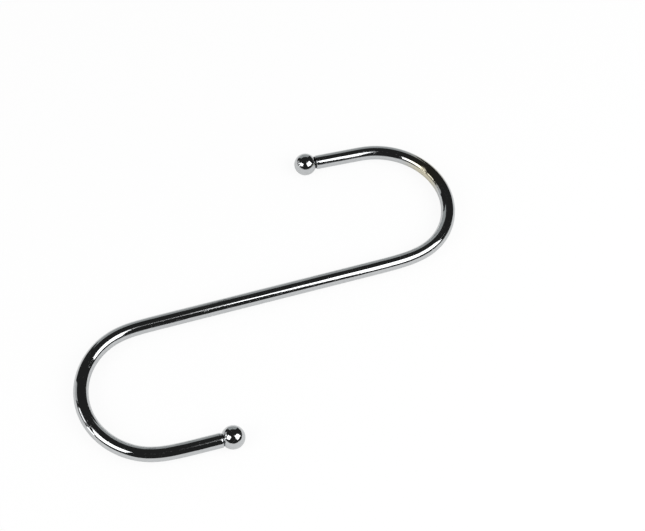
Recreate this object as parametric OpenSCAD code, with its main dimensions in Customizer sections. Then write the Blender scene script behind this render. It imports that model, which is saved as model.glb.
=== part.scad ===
// Chromed steel S hook with a ball on each end, lying on its side.
// The shank runs along X, the hooks open in the XY plane and the balls rest on Z = 0.
// The origin lies under the middle of the shank.

/* [Wire] */
// Diameter of the steel wire
wire_d = 4; // [3:0.25:5]
// Length of the straight shank between the two bends
shank_l = 76.5; // [50:0.5:120]
// Radius of both bends, to the centreline of the wire
bend_r = 19.75; // [12:0.25:30]
// Rounding of the wire's cut ends
cut_round_r = 0.5; // [0.2:0.1:0.8]

/* [Upper hook] */
// Angle that the wire turns through, in degrees
upper_turn = 177; // [150:1:180]
// Straight wire between the bend and its ball
upper_tip_l = 13.8; // [8:0.1:20]

/* [Lower hook] */
// Angle that the wire turns through, in degrees
lower_turn = 179; // [150:1:180]
// Straight wire between the bend and its ball
lower_tip_l = 12.7; // [8:0.1:20]

/* [Balls] */
// Diameter of the balls
ball_d = 6.35; // [6:0.05:9]

/* [Hidden] */
$fn = 96;

wire_r = wire_d / 2;
ball_r = ball_d / 2;

// The wire's end face, inside its rounding, is the weld that carries the ball.
weld_r = wire_r - cut_round_r;
// The ball has a flat of the same size, so its centre stands this far past the wire.
weld_to_centre = sqrt(ball_r * ball_r - weld_r * weld_r);

// The thickest piece lies on the surface, and the wire's centreline is level.
line_z = max(ball_r, wire_r);

// Moves from the end of the shank to the end of a bend, with +X along the wire.
module at_bend_end(turn) {
    translate([shank_l / 2, bend_r, 0])
        rotate(turn)
            translate([0, -bend_r, 0])
                children();
}

// Moves on to the wire's end face.
module at_wire_end(turn, tip_l) {
    at_bend_end(turn)
        translate([tip_l, 0, 0])
            children();
}

// The lower hook is the upper one turned half round about the origin.
module on_lower_side() {
    rotate(180)
        children();
}

module bend(turn) {
    translate([shank_l / 2, bend_r, 0])
        rotate(-90)
            rotate_extrude(angle = turn)
                translate([bend_r, 0])
                    circle(r = wire_r);
}

// Half of the wire's section along its axis, with the cut end rounded over.
module tip_profile(tip_l) {
    square([wire_r, tip_l - cut_round_r]);
    square([weld_r, tip_l]);
    translate([weld_r, tip_l - cut_round_r])
        circle(r = cut_round_r);
}

module tip(tip_l) {
    rotate([0, 90, 0])
        rotate_extrude()
            tip_profile(tip_l);
}

module shank() {
    rotate([0, 90, 0])
        cylinder(r = wire_r, h = shank_l, center = true);
}

// A ball with its weld flat towards -X, placed by the middle of the flat.
module welded_ball() {
    intersection() {
        translate([weld_to_centre, 0, 0])
            sphere(r = ball_r);
        translate([0, -ball_d, -ball_d])
            cube(2 * ball_d);
    }
}

module hook_wire() {
    color("silver")
        translate([0, 0, line_z]) {
            shank();
            bend(upper_turn);
            at_bend_end(upper_turn)
                tip(upper_tip_l);
            on_lower_side()
                bend(lower_turn);
            on_lower_side()
                at_bend_end(lower_turn)
                    tip(lower_tip_l);
        }
}

module upper_ball() {
    color("gainsboro")
        translate([0, 0, line_z])
            at_wire_end(upper_turn, upper_tip_l)
                welded_ball();
}

module lower_ball() {
    color("gainsboro")
        translate([0, 0, line_z])
            on_lower_side()
                at_wire_end(lower_turn, lower_tip_l)
                    welded_ball();
}

hook_wire();
upper_ball();
lower_ball();
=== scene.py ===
import math

import bpy
import numpy as np
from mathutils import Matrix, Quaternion, Vector


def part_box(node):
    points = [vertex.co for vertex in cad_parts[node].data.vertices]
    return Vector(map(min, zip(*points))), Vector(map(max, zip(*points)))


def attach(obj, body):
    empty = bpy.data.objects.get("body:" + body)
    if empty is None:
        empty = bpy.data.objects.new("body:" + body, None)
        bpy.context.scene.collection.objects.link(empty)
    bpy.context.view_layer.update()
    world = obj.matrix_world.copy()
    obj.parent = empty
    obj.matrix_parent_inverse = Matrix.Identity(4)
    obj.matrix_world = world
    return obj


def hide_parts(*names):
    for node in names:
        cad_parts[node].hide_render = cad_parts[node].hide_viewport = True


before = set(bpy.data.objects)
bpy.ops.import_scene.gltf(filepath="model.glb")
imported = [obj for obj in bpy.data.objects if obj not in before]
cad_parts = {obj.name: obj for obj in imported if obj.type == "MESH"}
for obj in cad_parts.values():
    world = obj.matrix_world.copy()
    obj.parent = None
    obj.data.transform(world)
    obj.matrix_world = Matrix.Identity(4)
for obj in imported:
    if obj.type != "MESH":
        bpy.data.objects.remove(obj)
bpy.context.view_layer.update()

mm = 0.001  # the frame is in metres, the sizes below are in millimetres
scene = bpy.context.scene
scene.view_settings.view_transform = "Standard"


def linear(hexColour):
    # sRGB hex to the linear colour that a shader takes
    parts = [int(hexColour[i:i + 2], 16) / 255 for i in (1, 3, 5)]
    return [c / 12.92 if c <= 0.04045 else ((c + 0.055) / 1.055) ** 2.4 for c in parts] + [1.0]


def addNode(tree, kind, settings=None, links=None):
    # settings go to a socket of that name or number, or else to the node itself
    node = tree.nodes.new("ShaderNode" + kind)
    for name, value in (settings or {}).items():
        if isinstance(name, int) or name in node.inputs:
            node.inputs[name].default_value = value
        else:
            setattr(node, name, value)
    for name, socket in (links or {}).items():
        tree.links.new(socket, node.inputs[name])
    return node


def newMaterial(name):
    material = bpy.data.materials.new(name)
    material.use_nodes = True
    material.node_tree.nodes.clear()
    return material, material.node_tree


def perMm(*sizes):
    # texture scale at which one step of the pattern is so many millimetres long
    return [1 / (size * mm) for size in sizes]


# Camera, where the photograph was taken from
photoCamera = {
    "place": (-81.5, -237.14, 380.12),  # mm
    "turn": (34.63, -2.475, -18.405),  # degrees about X, Y and Z
    "lens": 91.76,  # mm, for a sensor of the width below
    "sensor": 36.0,
}

cameraData = bpy.data.cameras.new("photoCamera")
cameraData.lens = photoCamera["lens"]
cameraData.sensor_width = photoCamera["sensor"]
camera = bpy.data.objects.new("photoCamera", cameraData)
camera.location = [v * mm for v in photoCamera["place"]]
camera.rotation_euler = [math.radians(v) for v in photoCamera["turn"]]
scene.collection.objects.link(camera)
scene.camera = camera
print("camera made")


# Bright chrome over drawn steel wire, polished before plating: a mirror, but the ends of what it
# mirrors break into dashes, because drawing and bending leave slow waves that run round the wire.
# Handling adds pits and hairlines, which catch the lamps as specks in the dark part of the reflection
wireChrome = {
    "plate": "#C1C3C4",
    "smooth": 0.035,  # roughness of the untouched plate
    "waveSize": (0.7, 3.0),  # mm along the wire and round it
    "waveDepth": 0.008,  # mm, as the other depths
    "lineSize": (9.0, 0.13),  # drawing lines: finer on the real wire, and as coarse here as the render shows
    "lineDepth": 0.0045,
    "pitEvery": 1.3,
    "pitRadius": 0.17,
    "pitDepth": 0.014,
    "hairline": 0.3,  # roughness added on a hairline
    "hairlineLevels": (0.58, 0.66),  # of the drawing lines' pattern: where one begins and where it is full
    "patchLevels": (0.42, 0.62),  # the same for the patches that they come in, of the waves' pattern
}

# The same plate on a tumbled steel ball: its lines run round the ball as the polishing wheel left them
ballChrome = {
    **wireChrome,
    "waveSize": (0.75, 0.75),
    "waveDepth": 0.022,
    "lineSize": (0.14, 2.5),
    "lineDepth": 0.006,
    "pitEvery": 1.15,
}

# On the inside of the upper bend the plate's colour is warmed: a painted warm reflection, standing in for
# something warm that the chrome mirrors there.
# A spot in that stretch is rubbed, which spreads the end of the lamp's reflection
warmReflectionAndRub = {
    # colour of the painted warm reflection
    "paintedWarmReflection": "#C9C3AE",
    "warmAt": 77.3,  # mm from the shank's middle
    "warmReach": (1.5, 9.5),  # all of it within the first, none beyond the second
    "warmAcross": (-1.9, 0.5),  # mm inward from the wire's axis: from the weakest to the full painted warmth
    "warmOutside": 0.25,  # share of the painted warmth where it is weakest
    "rubbed": 0.3,  # roughness added there
    "rubbedAt": (78.5, 1.6, 1.2),  # mm along the wire, then inward and up from its axis
    "rubbedReach": (0.9, 2.6),
    "rubbedRagged": 1.0,  # mm by which the spot's edge wanders
}


def within(tree, distance, reach):
    # 1 up to the first distance, and down to 0 at the second
    fade = {"interpolation_type": "SMOOTHSTEP", "From Min": reach[1] * mm, "From Max": reach[0] * mm}
    return addNode(tree, "MapRange", fade, {"Value": distance}).outputs[0]


def paintedWarmColour(tree, drawn, plate, warmthAndRub):
    # the painted warm reflection fades along the wire, and towards the outside of the bend
    place = addNode(tree, "SeparateXYZ", links={"Vector": drawn})
    away = addNode(tree, "Math", {"operation": "SUBTRACT", 1: warmthAndRub["warmAt"] * mm}, {0: place.outputs["X"]})
    away = addNode(tree, "Math", {"operation": "ABSOLUTE"}, {0: away.outputs[0]})
    along = within(tree, away.outputs[0], warmthAndRub["warmReach"])
    outside, inside = [v * mm for v in warmthAndRub["warmAcross"]]
    levels = {"From Min": outside, "From Max": inside, "To Min": warmthAndRub["warmOutside"]}
    across = addNode(tree, "MapRange", levels, {"Value": place.outputs["Y"]})
    warmth = addNode(tree, "Math", {"operation": "MULTIPLY"}, {0: along, 1: across.outputs[0]})
    # in a colour Mix the sockets 6 and 7 are its two colours
    colours = {"data_type": "RGBA", 6: linear(plate), 7: linear(warmthAndRub["paintedWarmReflection"])}
    return addNode(tree, "Mix", colours, {0: warmth.outputs[0]}).outputs[2]


def rubbedRoughness(tree, drawn, wave, warmthAndRub):
    # a spot whose edge follows the waves
    spot = [v * mm for v in warmthAndRub["rubbedAt"]]
    away = addNode(tree, "VectorMath", {"operation": "DISTANCE", 1: spot}, {0: drawn})
    away = addNode(tree, "Math", {"operation": "MULTIPLY_ADD", 1: warmthAndRub["rubbedRagged"] * mm},
                   {0: wave, 2: away.outputs["Value"]})
    share = within(tree, away.outputs[0], warmthAndRub["rubbedReach"])
    return addNode(tree, "Math", {"operation": "MULTIPLY", 1: warmthAndRub["rubbed"]}, {0: share}).outputs[0]


def chromePlate(name, values, warmthAndRub=None):
    material, tree = newMaterial(name)
    drawn = addNode(tree, "Attribute", {"attribute_name": "drawn"}).outputs["Vector"]

    def pattern(kind, size, settings):
        # size is along the wire, then round it
        scale = {"Scale": perMm(size[0], size[1], size[1])}
        scaled = addNode(tree, "Mapping", scale, {"Vector": drawn})
        return addNode(tree, kind, settings, {"Vector": scaled.outputs[0]})

    # relief: waves, drawing lines and pits, one on the other
    wave = pattern("TexNoise", values["waveSize"], {"Scale": 1.0, "Detail": 1.5, "Roughness": 0.45})
    line = pattern("TexNoise", values["lineSize"], {"Scale": 1.0, "Detail": 2.0, "Roughness": 0.6})
    pit = pattern("TexVoronoi", [values["pitEvery"]] * 2, {"Scale": 1.0})
    pitEdge = values["pitRadius"] / values["pitEvery"]
    wall = {"interpolation_type": "SMOOTHSTEP", "From Min": 0.0, "From Max": pitEdge}
    pitWall = addNode(tree, "MapRange", wall, {"Value": pit.outputs["Distance"]})
    normal = None
    for height, depth in ((wave, "waveDepth"), (line, "lineDepth"), (pitWall, "pitDepth")):
        links = {"Height": height.outputs[0]}
        if normal:
            links["Normal"] = normal
        normal = addNode(tree, "Bump", {"Strength": 1.0, "Distance": values[depth] * mm}, links).outputs[0]

    # hairlines follow the drawing lines and come in patches
    low, high = values["hairlineLevels"]
    hairline = addNode(tree, "MapRange", {"From Min": low, "From Max": high, "To Max": values["hairline"]},
                       {"Value": line.outputs[0]})
    low, high = values["patchLevels"]
    patch = addNode(tree, "MapRange", {"From Min": low, "From Max": high}, {"Value": wave.outputs[0]})
    rough = addNode(tree, "Math", {"operation": "MULTIPLY"}, {0: hairline.outputs[0], 1: patch.outputs[0]})

    settings = {"Metallic": 1.0, "Base Color": linear(values["plate"])}
    links = {"Normal": normal}
    if warmthAndRub:
        # the plate's colour carries the painted warm reflection on the inside of the upper bend
        links["Base Color"] = paintedWarmColour(tree, drawn, values["plate"], warmthAndRub)
        rubbed = rubbedRoughness(tree, drawn, wave.outputs[0], warmthAndRub)
        rough = addNode(tree, "Math", {"operation": "ADD"}, {0: rough.outputs[0], 1: rubbed})
    rough = addNode(tree, "Math", {"operation": "ADD", 1: values["smooth"]}, {0: rough.outputs[0]})
    links["Roughness"] = rough.outputs[0]
    surface = addNode(tree, "BsdfPrincipled", settings, links)
    addNode(tree, "OutputMaterial", links={"Surface": surface.outputs[0]})
    return material


# The wire, drawn in the same frame as the solid and from the same sizes
wire = {
    "shank": 76.5,
    "bendRadius": 19.75,
    "cutRound": 0.5,  # radius by which the cut ends are rounded over
    "ringStep": 0.5,
    "sides": 96,
    "roundRings": 10,
}

# Bent round a pin, it takes up its curve over some millimetres, is a little tighter at the bend's two
# shoulders and lets go again. The balls are where the solid has them, and between them the wire is never
# more than 0.3 mm from the solid's arcs. Distances run along the wire from the middle of the shank
bends = {
    "upper": {
        "turn": 177.0,  # degrees
        "tip": 13.8,  # straight end beyond the bend
        "start": 39.568,  # where the curve is half taken up
        "takeUp": 5.41,  # from there to where most of it is
        "end": 99.173,  # where it is half let go
        "letGo": 1.36,  # from there to where most of it is
        "tighter": (0.175, 0.028),  # share added to the curve at the first and the last shoulder
        "shoulder": 9.78,  # from the start or the end of the curve
        "neck": 0.22,  # weld left open between the wire's end and the ball
        "weldTurn": 0.7,  # radians by which the lumps of the weld are turned
    },
    "lower": {
        "turn": 179.0,
        "tip": 12.7,
        "start": 39.144,
        "takeUp": 3.8,
        "end": 98.643,
        "letGo": 4.57,
        "tighter": (0.156, 0.229),
        "shoulder": 6.49,
        "neck": 0.0,
        "weldTurn": 2.1,
    },
}
shoulderSpread = 0.6  # width of a shoulder, as a share of its distance from the start or the end
routeStep = 0.1
routeEnd = 125.0  # beyond the balls

wireLow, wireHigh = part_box("hook_wire")
wireRadius = (wireHigh.z - wireLow.z) / 2 / mm
wireHeight = (wireHigh.z + wireLow.z) / 2 / mm  # of the wire's axis above the sheet
weldRadius = wireRadius - wire["cutRound"]  # of the end face that meets the ball


def runningSum(values):
    return np.concatenate(([0.0], np.cumsum((values[1:] + values[:-1]) / 2 * routeStep)))


def halfRoute(bend):
    # the curve adds up to a heading, and the heading to a place, from the middle of the shank to the ball
    along = np.arange(0.0, routeEnd, routeStep)
    curve = np.tanh((along - bend["start"]) / bend["takeUp"])
    curve -= np.tanh((along - bend["end"]) / bend["letGo"])
    spread = shoulderSpread * bend["shoulder"]
    first = np.exp(-((along - bend["start"] - bend["shoulder"]) / spread) ** 2)
    last = np.exp(-((along - bend["end"] + bend["shoulder"]) / spread) ** 2)
    curve *= 1 + bend["tighter"][0] * first + bend["tighter"][1] * last
    heading = runningSum(curve)
    heading *= math.radians(bend["turn"]) / heading[-1]
    return along, runningSum(np.cos(heading)), runningSum(np.sin(heading)), heading


def halfLength(bend):
    return wire["shank"] / 2 + wire["bendRadius"] * math.radians(bend["turn"]) + bend["tip"]


routes = {name: halfRoute(bend) for name, bend in bends.items()}
upperLength = halfLength(bends["upper"])
lowerLength = halfLength(bends["lower"])
upperCut = upperLength - bends["upper"]["neck"]
lowerCut = lowerLength - bends["lower"]["neck"]


def wireAt(distance):
    # place and heading; the lower side is walked from the shank too, then turned half round
    along, x, y, heading = routes["upper" if distance >= 0 else "lower"]
    side = 1 if distance >= 0 else -1
    place = [float(np.interp(abs(distance), along, values)) for values in (x, y, heading)]
    return side * place[0], side * place[1], place[2]


def ringsAlong(stations, sides):
    # stations are (distance, radius) pairs; each makes one ring square to the wire
    rings, drawn = [], []
    for distance, radius in stations:
        x, y, heading = wireAt(distance)
        across = np.array([-math.sin(heading), math.cos(heading), 0.0])
        for side in range(sides):
            angle = math.tau * side / sides
            out, up = radius * math.cos(angle), radius * math.sin(angle)
            rings.append(np.array([x, y, wireHeight]) + out * across + up * np.array([0, 0, 1.0]))
            drawn.append((distance, out, up))
    return np.array(rings) * mm, np.array(drawn) * mm


def skin(name, points, drawn, sides, looped=False):
    # joins the rings, and closes the ends or loops round; drawn carries the patterns along the wire
    count = len(points) // sides
    faces = []
    for ring in range(count if looped else count - 1):
        here, there = ring * sides, (ring + 1) % count * sides
        for side in range(sides):
            after = (side + 1) % sides
            faces.append((here + side, here + after, there + after, there + side))
    if not looped:
        faces.append(tuple(range(sides))[::-1])
        faces.append(tuple(range((count - 1) * sides, count * sides)))
    mesh = bpy.data.meshes.new(name)
    mesh.from_pydata([tuple(p) for p in points], [], faces)
    mesh.validate()
    attribute = mesh.attributes.new("drawn", "FLOAT_VECTOR", "POINT")
    attribute.data.foreach_set("vector", np.asarray(drawn, np.float32).ravel())
    mesh.shade_smooth()
    piece = bpy.data.objects.new(name, mesh)
    scene.collection.objects.link(piece)
    return piece


def roundedEnd(length, sign):
    # the cut end, rounded over from the wire's side down to the weld
    steps = wire["roundRings"]
    start = length - wire["cutRound"]
    stations = []
    for step in range(1, steps + 1):
        angle = math.pi / 2 * step / steps
        distance = sign * (start + wire["cutRound"] * math.sin(angle))
        stations.append((distance, weldRadius + wire["cutRound"] * math.cos(angle)))
    return stations


def makeWire(name):
    first = -lowerCut + wire["cutRound"]
    last = upperCut - wire["cutRound"]
    between = np.arange(first, last - wire["ringStep"] / 2, wire["ringStep"])
    stations = roundedEnd(lowerCut, -1)[::-1]
    stations += [(float(distance), wireRadius) for distance in between]
    stations += [(last, wireRadius)]
    stations += roundedEnd(upperCut, 1)
    points, drawn = ringsAlong(stations, wire["sides"])
    return skin(name, points, drawn, wire["sides"])


hookWire = makeWire("chromed_wire")
print("wire made,", len(hookWire.data.polygons), "faces")


# The balls, each with the flat by which it is welded to the wire's end
ball = {
    "rings": 72,
    "sides": 96,
    "lastRing": 0.995,  # as a share of the way to the far pole
}

ballLow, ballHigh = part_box("upper_ball")  # the two are alike
ballRadius = (ballHigh.z - ballLow.z) / 2 / mm


def makeBall(name, length, sign):
    flatAngle = math.asin(weldRadius / ballRadius)
    angles = np.linspace(flatAngle, math.pi * ball["lastRing"], ball["rings"])
    centre = length + math.sqrt(ballRadius ** 2 - weldRadius ** 2)
    stations = [(sign * (centre - ballRadius * math.cos(a)), ballRadius * math.sin(a)) for a in angles]
    points, drawn = ringsAlong(stations[::sign], ball["sides"])
    return skin(name, points, drawn, ball["sides"])


upperBall = makeBall("chromed_upper_ball", upperLength, 1)
lowerBall = makeBall("chromed_lower_ball", lowerLength, -1)
print("balls made")


# The weld's flash, a thin uneven ring at the bottom of the groove
weld = {
    "ringRadius": 1.55,
    "beadRadius": 0.14,
    "unevenness": 0.05,
    "lumps": ((3, 1.0, 1), (7, 0.6, 2), (12, 0.4, 0)),  # how many round the ring, how high, how far turned
    "around": 96,
    "sides": 20,
}


def makeWeld(name, length, bend, sign):
    # it sits in the middle of the neck, and is thicker where the neck is open
    distance = sign * (length - bend["neck"] / 2)
    x, y, heading = wireAt(distance)
    along = np.array([math.cos(heading), math.sin(heading), 0.0])
    across = np.array([-math.sin(heading), math.cos(heading), 0.0])
    up = np.array([0.0, 0.0, 1.0])
    points, drawn = [], []
    for step in range(weld["around"]):
        angle = math.tau * step / weld["around"]
        lump = sum(height * math.sin(count * angle + turned * bend["weldTurn"])
                   for count, height, turned in weld["lumps"])
        bead = weld["beadRadius"] + bend["neck"] / 4 + weld["unevenness"] * lump / 2
        outward = math.cos(angle) * across + math.sin(angle) * up
        for side in range(weld["sides"]):
            turn = math.tau * side / weld["sides"]
            out = weld["ringRadius"] + bead * math.cos(turn)
            shift = -bead * math.sin(turn)  # so that the faces look outward
            points.append(np.array([x, y, wireHeight]) + out * outward + shift * along)
            drawn.append((distance + shift, out * math.cos(angle), out * math.sin(angle)))
    return skin(name, np.array(points) * mm, np.array(drawn) * mm, weld["sides"], looped=True)


upperWeld = makeWeld("upper_weld", upperLength, bends["upper"], 1)
lowerWeld = makeWeld("lower_weld", lowerLength, bends["lower"], -1)
print("welds made")


# Weld flash, dark and dull: its dark colour is painted shade, so the groove between wire and ball reads as a
# dark line
weldGrooveShade = {
    "grooveShade": "#4A4A4B",
    "deeperGrooveShade": "#242425",
    "roughness": 0.38,
    "grainSize": 0.25,
    "grainDepth": 0.03,
}


def weldInPaintedShade(name, values):
    material, tree = newMaterial(name)
    drawn = addNode(tree, "Attribute", {"attribute_name": "drawn"}).outputs["Vector"]
    scaled = addNode(tree, "Mapping", {"Scale": perMm(*[values["grainSize"]] * 3)}, {"Vector": drawn})
    grain = addNode(tree, "TexNoise", {"Scale": 1.0, "Detail": 3.0}, {"Vector": scaled.outputs[0]})
    # painted shade: the weld's colour mottles between two dark greys
    colours = {"data_type": "RGBA", 6: linear(values["deeperGrooveShade"]), 7: linear(values["grooveShade"])}
    colour = addNode(tree, "Mix", colours, {0: grain.outputs[0]})
    bump = addNode(tree, "Bump", {"Strength": 1.0, "Distance": values["grainDepth"] * mm},
                   {"Height": grain.outputs[0]})
    surface = addNode(tree, "BsdfPrincipled", {"Metallic": 1.0, "Roughness": values["roughness"]},
                      {"Base Color": colour.outputs[2], "Normal": bump.outputs[0]})
    addNode(tree, "OutputMaterial", links={"Surface": surface.outputs[0]})
    return material


# The materials go on and every piece rides with the hook
wirePlate = chromePlate("brightChromeOnDrawnWire", wireChrome, warmReflectionAndRub)
ballPlate = chromePlate("brightChromeOnBall", ballChrome)
weldShadeMaterial = weldInPaintedShade("weldWithPaintedShade", weldGrooveShade)
for piece, plate, node, slot in (
    (hookWire, wirePlate, "hook_wire", "chromed_wire"),
    (upperBall, ballPlate, "upper_ball", "chromed_ball"),
    (lowerBall, ballPlate, "lower_ball", "chromed_ball"),
    (upperWeld, weldShadeMaterial, None, "chromed_wire"),
    (lowerWeld, weldShadeMaterial, None, "chromed_wire"),
):
    piece.data.materials.append(plate)
    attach(piece, "root")
    if node:
        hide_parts(node)
print("materials set")


# The studio: a white sheet, a dark room round it, two soft boxes and the cards that the chrome mirrors.
# Azimuths run from +X towards +Y and distances are from the hook's middle, in degrees and mm.
# A level is how brightly a thing glows, where 1 is white
studio = {
    "sheetSize": 6000,
    "sheet": "#F7F7F7",
    "sheetRoughness": 0.9,
    "seenGlow": 0.9,  # share of plain white in what the camera sees; the rest takes the shadow
    "mirroredGlow": 0.1,  # the same share in what the chrome sees
    "room": 0.025,  # level of its walls
    "roomRadius": 2500,
    "roomRings": 12,
    "roomSides": 48,
    "fill": 0.6,  # level of the sky where it lights the sheet
}
softBoxes = {
    "leftSoftBox": {
        "azimuth": 200.6, "elevation": 36.2, "distance": 550, "wide": 365, "high": 304,
        "turned": -34, "tipped": -4.7, "roll": -34.7, "level": 2.8,
    },
    "rightSoftBox": {
        "azimuth": 324.5, "elevation": 44.6, "distance": 467, "wide": 412, "high": 343,
        "turned": -33.8, "tipped": -23.1, "roll": -5.8, "level": 2.8,
    },
}
cards = {
    "sideCard": {
        "azimuth": 142.8, "elevation": 11.2, "distance": 500, "wide": 128, "high": 226, "level": 0.6,
    },
    "cornerCard": {
        "azimuth": 165.1, "elevation": 19.1, "distance": 500, "wide": 151, "high": 178, "level": 0.35,
    },
    "smallCard": {
        "azimuth": 163.4, "elevation": 20, "distance": 422, "wide": 96, "high": 90, "level": 1.9,
    },
    "lowCard": {
        "azimuth": 180.6, "elevation": 3.6, "distance": 480, "wide": 81, "high": 175, "level": 2.4,
    },
    "backSeam": {
        "azimuth": 83.2, "elevation": 26, "distance": 330, "wide": 7, "high": 330, "level": 0.12,
    },
    "topCard": {
        "azimuth": 284.5, "elevation": 66, "distance": 500, "wide": 34, "high": 93, "level": 1.0,
    },
    "flapCard": {
        "azimuth": 277, "elevation": 66.5, "distance": 500, "wide": 26, "high": 90, "level": 0.24,
    },
}
backdrop = {
    "azimuth": 80, "elevation": 0, "distance": 338, "wide": 380, "high": 270, "level": 0.52,
    "colour": "#F6FAFA",
}
middle = Vector((0, 0, wireHeight * mm))


def around(azimuth, elevation, distance):
    a, e = math.radians(azimuth), math.radians(elevation)
    return Vector((math.cos(e) * math.cos(a), math.cos(e) * math.sin(a), math.sin(e))) * distance * mm


def faceHook(thing, where):
    # turned and tipped are how far it looks past the hook, sideways and up
    azimuth, elevation, distance = where["azimuth"], where["elevation"], where["distance"]
    turned, tipped, roll = (where.get(name, 0) for name in ("turned", "tipped", "roll"))
    thing.location = middle + around(azimuth, elevation, distance)
    towards = (-around(azimuth + turned, elevation + tipped, distance)).to_track_quat("-Z", "Y")
    thing.rotation_euler = (towards @ Quaternion((0, 0, 1), math.radians(-roll))).to_euler()


def glowing(name, level, colour="#FFFFFF"):
    material, tree = newMaterial(name)
    glow = addNode(tree, "Emission", {"Color": linear(colour), "Strength": level})
    addNode(tree, "OutputMaterial", links={"Surface": glow.outputs[0]})
    return material


def stageObject(name, mesh, material, mirrorsOnly):
    mesh.materials.append(material)
    thing = bpy.data.objects.new(name, mesh)
    scene.collection.objects.link(thing)
    if mirrorsOnly:  # stands outside the picture: only the chrome sees it
        thing.visible_camera = thing.visible_diffuse = thing.visible_shadow = False
    return thing


def cardMesh(name, wide, high):
    mesh = bpy.data.meshes.new(name)
    x, y = wide / 2 * mm, high / 2 * mm
    mesh.from_pydata([(-x, -y, 0), (x, -y, 0), (x, y, 0), (-x, y, 0)], [], [(0, 1, 2, 3)])
    return mesh


def domeMesh(name, radius, rings, sides):
    points = [tuple(around(360 * side / sides, 90 * ring / rings, radius))
              for ring in range(rings) for side in range(sides)]
    points.append((0, 0, radius * mm))
    faces = [(ring * sides + side, ring * sides + (side + 1) % sides,
              (ring + 1) * sides + (side + 1) % sides, (ring + 1) * sides + side)
             for ring in range(rings - 1) for side in range(sides)]
    top = (rings - 1) * sides
    faces += [(top + side, top + (side + 1) % sides, len(points) - 1) for side in range(sides)]
    mesh = bpy.data.meshes.new(name)
    mesh.from_pydata(points, [], faces)
    return mesh


for name, box in softBoxes.items():
    lamp = bpy.data.lights.new(name, "AREA")
    lamp.shape = "RECTANGLE"
    lamp.size, lamp.size_y = box["wide"] * mm, box["high"] * mm
    lamp.energy = box["level"] * math.pi * lamp.size * lamp.size_y  # the watts that give its level
    lampObject = bpy.data.objects.new(name, lamp)
    faceHook(lampObject, box)
    lampObject.visible_camera = False
    scene.collection.objects.link(lampObject)

for name, card in cards.items():
    mesh = cardMesh(name, card["wide"], card["high"])
    faceHook(stageObject(name, mesh, glowing(name, card["level"]), True), card)

backMaterial = glowing("greyBackSheet", backdrop["level"], backdrop["colour"])
backSheet = stageObject("backSheet", cardMesh("backSheet", backdrop["wide"], backdrop["high"]),
                        backMaterial, True)
faceHook(backSheet, backdrop)
backSheet.location.z = backdrop["high"] / 2 * mm  # its foot is on the white sheet

roomMesh = domeMesh("darkRoom", studio["roomRadius"], studio["roomRings"], studio["roomSides"])
stageObject("darkRoom", roomMesh, glowing("darkRoomWalls", studio["room"]), True)


def whitePaper(name):
    # flat white that keeps the hook's shadow
    material, tree = newMaterial(name)
    path = addNode(tree, "LightPath").outputs
    either = {"operation": "MAXIMUM"}
    mirrored = addNode(tree, "Math", either, {0: path["Is Glossy Ray"], 1: path["Is Transmission Ray"]})
    mirrored = addNode(tree, "Math", {"operation": "MULTIPLY", 1: studio["mirroredGlow"]},
                       {0: mirrored.outputs[0]})
    seen = addNode(tree, "Math", {"operation": "MULTIPLY", 1: studio["seenGlow"]},
                   {0: path["Is Camera Ray"]})
    share = addNode(tree, "Math", either, {0: seen.outputs[0], 1: mirrored.outputs[0]})
    paper = addNode(tree, "BsdfPrincipled",
                    {"Base Color": linear(studio["sheet"]), "Roughness": studio["sheetRoughness"]})
    white = addNode(tree, "Emission", {"Color": linear("#FFFFFF"), "Strength": 1.0})
    mixed = addNode(tree, "MixShader",
                    links={"Fac": share.outputs[0], 1: paper.outputs[0], 2: white.outputs[0]})
    addNode(tree, "OutputMaterial", links={"Surface": mixed.outputs[0]})
    return material


sheetMesh = cardMesh("paperSheet", studio["sheetSize"], studio["sheetSize"])
stageObject("paperSheet", sheetMesh, whitePaper("whitePaperSheet"), False)

# The world: white where it is seen or mirrored, dimmer as a light
world = bpy.data.worlds.new("paleStudio")
scene.world = world
world.use_nodes = True
tree = world.node_tree
tree.nodes.clear()
path = addNode(tree, "LightPath").outputs
either = {"operation": "MAXIMUM"}
seen = addNode(tree, "Math", either, {0: path["Is Camera Ray"], 1: path["Is Glossy Ray"]})
seen = addNode(tree, "Math", either, {0: seen.outputs[0], 1: path["Is Transmission Ray"]})
level = addNode(tree, "MapRange", {"To Min": studio["fill"], "To Max": 1.0}, {"Value": seen.outputs[0]})
sky = addNode(tree, "Background", {"Color": linear("#FFFFFF")}, {"Strength": level.outputs[0]})
addNode(tree, "OutputWorld", links={"Surface": sky.outputs[0]})
print("studio set")
